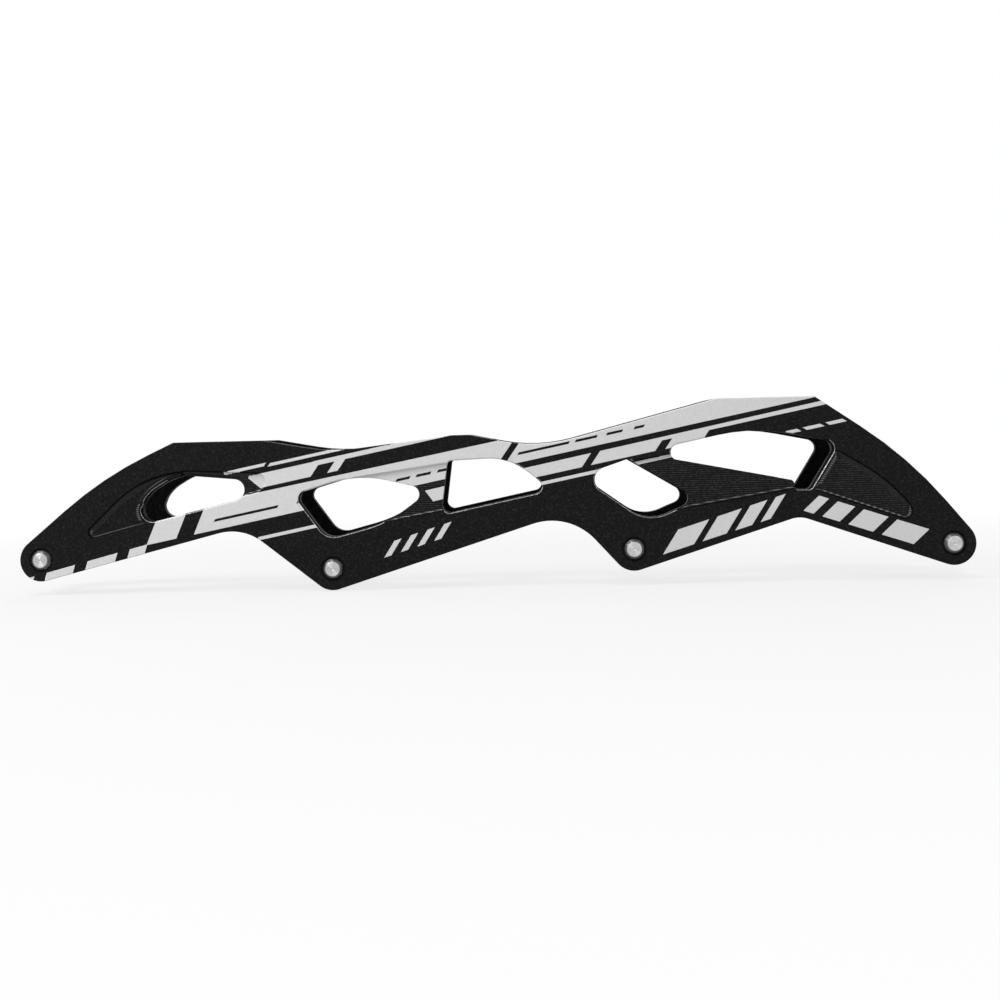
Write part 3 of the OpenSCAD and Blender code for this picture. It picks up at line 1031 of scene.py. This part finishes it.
# The camera: its turn in degrees, its place in metres, its sensor in millimetres, its lens in sensor widths,
# and the shift of its picture
YAW, PITCH, ROLL = -2.95, -0.171, -1.315
CAMERA_PLACE = (0.01803, -0.54798, 0.05479)
SENSOR = 36
LENS = 1.4907
SHIFT_X, SHIFT_Y = 0.0382, -0.0614
CLIP_START = 0.01


def looked_at(nodes, links):
    """1 for what the camera sees, straight or by way of a mirror or glass, and 0 for light on its way."""
    path = add(nodes, "ShaderNodeLightPath")
    seen = path.outputs["Is Camera Ray"]
    for other in ("Is Glossy Ray", "Is Transmission Ray"):
        either = add(nodes, "ShaderNodeMath", operation="MAXIMUM")
        links.new(seen, either.inputs[0])
        links.new(path.outputs[other], either.inputs[1])
        seen = either.outputs["Value"]
    return seen


def mixed(nodes, links, fac, first, second):
    node = add(nodes, "ShaderNodeMixShader")
    links.new(fac, node.inputs[0])
    links.new(first, node.inputs[1])
    links.new(second, node.inputs[2])
    return node.outputs["Shader"]


def floor_material():
    """A pale matt floor that keeps the shadow near the object and runs out into white."""
    mat, nodes, links, shader = principled("pale_floor")
    coords = add(nodes, "ShaderNodeTexCoord").outputs["Object"]
    tone = ramp(nodes, links, noise(nodes, links, coords, 8), [(0.3, 0.60), (0.7, 0.62)])
    links.new(tone, shader.inputs["Base Color"])
    shader.inputs["Roughness"].default_value = 0.9
    shader.inputs["Specular IOR Level"].default_value = 0.0
    white = add(nodes, "ShaderNodeEmission", Color=WHITE, Strength=1.0)
    round_fall = add(nodes, "ShaderNodeTexGradient", gradient_type="SPHERICAL")
    links.new(stretched(nodes, links, coords, GLOW_FALL), round_fall.inputs["Vector"])
    away = ramp(nodes, links, round_fall.outputs["Fac"], [(0.25, 1.0), (0.75, FLOOR_GLOW)])
    shown = mixed(nodes, links, away, shader.outputs[0], white.outputs[0])
    surface = mixed(nodes, links, looked_at(nodes, links), shader.outputs[0], shown)
    links.new(surface, nodes["Material Output"].inputs["Surface"])
    return mat


def build_floor():
    mesh = bpy.data.meshes.new("floor")
    corners = [(-1, -1), (1, -1), (1, 1), (-1, 1)]
    mesh.from_pydata([(FLOOR_HALF * x, FLOOR_HALF * y, 0) for x, y in corners], [], [(0, 1, 2, 3)])
    floor = bpy.data.objects.new("floor", mesh)
    floor.location.z = -FLOOR_DROP
    bpy.context.scene.collection.objects.link(floor)
    mesh.materials.append(floor_material())


def build_world():
    """Soft light from all sides, and a white background for the camera."""
    world = bpy.data.worlds.new("studio")
    bpy.context.scene.world = world
    world.use_nodes = True
    nodes, links = world.node_tree.nodes, world.node_tree.links
    shown = add(nodes, "ShaderNodeBackground", Color=WHITE, Strength=1.0)
    soft = nodes["Background"]
    soft.inputs["Color"].default_value = WHITE
    soft.inputs["Strength"].default_value = SOFT_LIGHT
    surface = mixed(nodes, links, looked_at(nodes, links), soft.outputs[0], shown.outputs[0])
    links.new(surface, nodes["World Output"].inputs["Surface"])


def build_lamp(name, place, target, size, watts):
    data = bpy.data.lights.new(name, "AREA")
    data.shape = "DISK"
    data.size = size
    data.energy = watts
    light = bpy.data.objects.new(name, data)
    light.location = place
    light.rotation_euler = (Vector(target) - Vector(place)).to_track_quat("-Z", "Y").to_euler()
    bpy.context.scene.collection.objects.link(light)


def build_camera():
    """The photograph's view: from the thread side, level with the top of the frame."""
    yaw, pitch, roll = map(math.radians, (YAW, PITCH, ROLL))
    ahead = Vector((math.sin(yaw) * math.cos(pitch), math.cos(yaw) * math.cos(pitch), math.sin(pitch)))
    right = Vector((math.cos(yaw), -math.sin(yaw), 0))
    up = right.cross(ahead)
    tilted = math.cos(roll) * right + math.sin(roll) * up
    upright = math.cos(roll) * up - math.sin(roll) * right
    data = bpy.data.cameras.new("camera")
    data.sensor_width = SENSOR
    data.lens = SENSOR * LENS
    data.shift_x = SHIFT_X
    data.shift_y = SHIFT_Y
    data.clip_start = CLIP_START
    camera = bpy.data.objects.new("camera", data)
    turn = Matrix((tilted, upright, -ahead)).transposed()
    camera.matrix_world = Matrix.Translation(CAMERA_PLACE) @ turn.to_4x4()
    bpy.context.scene.collection.objects.link(camera)
    bpy.context.scene.camera = camera


build_floor()
build_world()
for lamp in LAMPS:
    build_lamp(*lamp)
build_camera()
bpy.context.scene.view_settings.view_transform = "Standard"
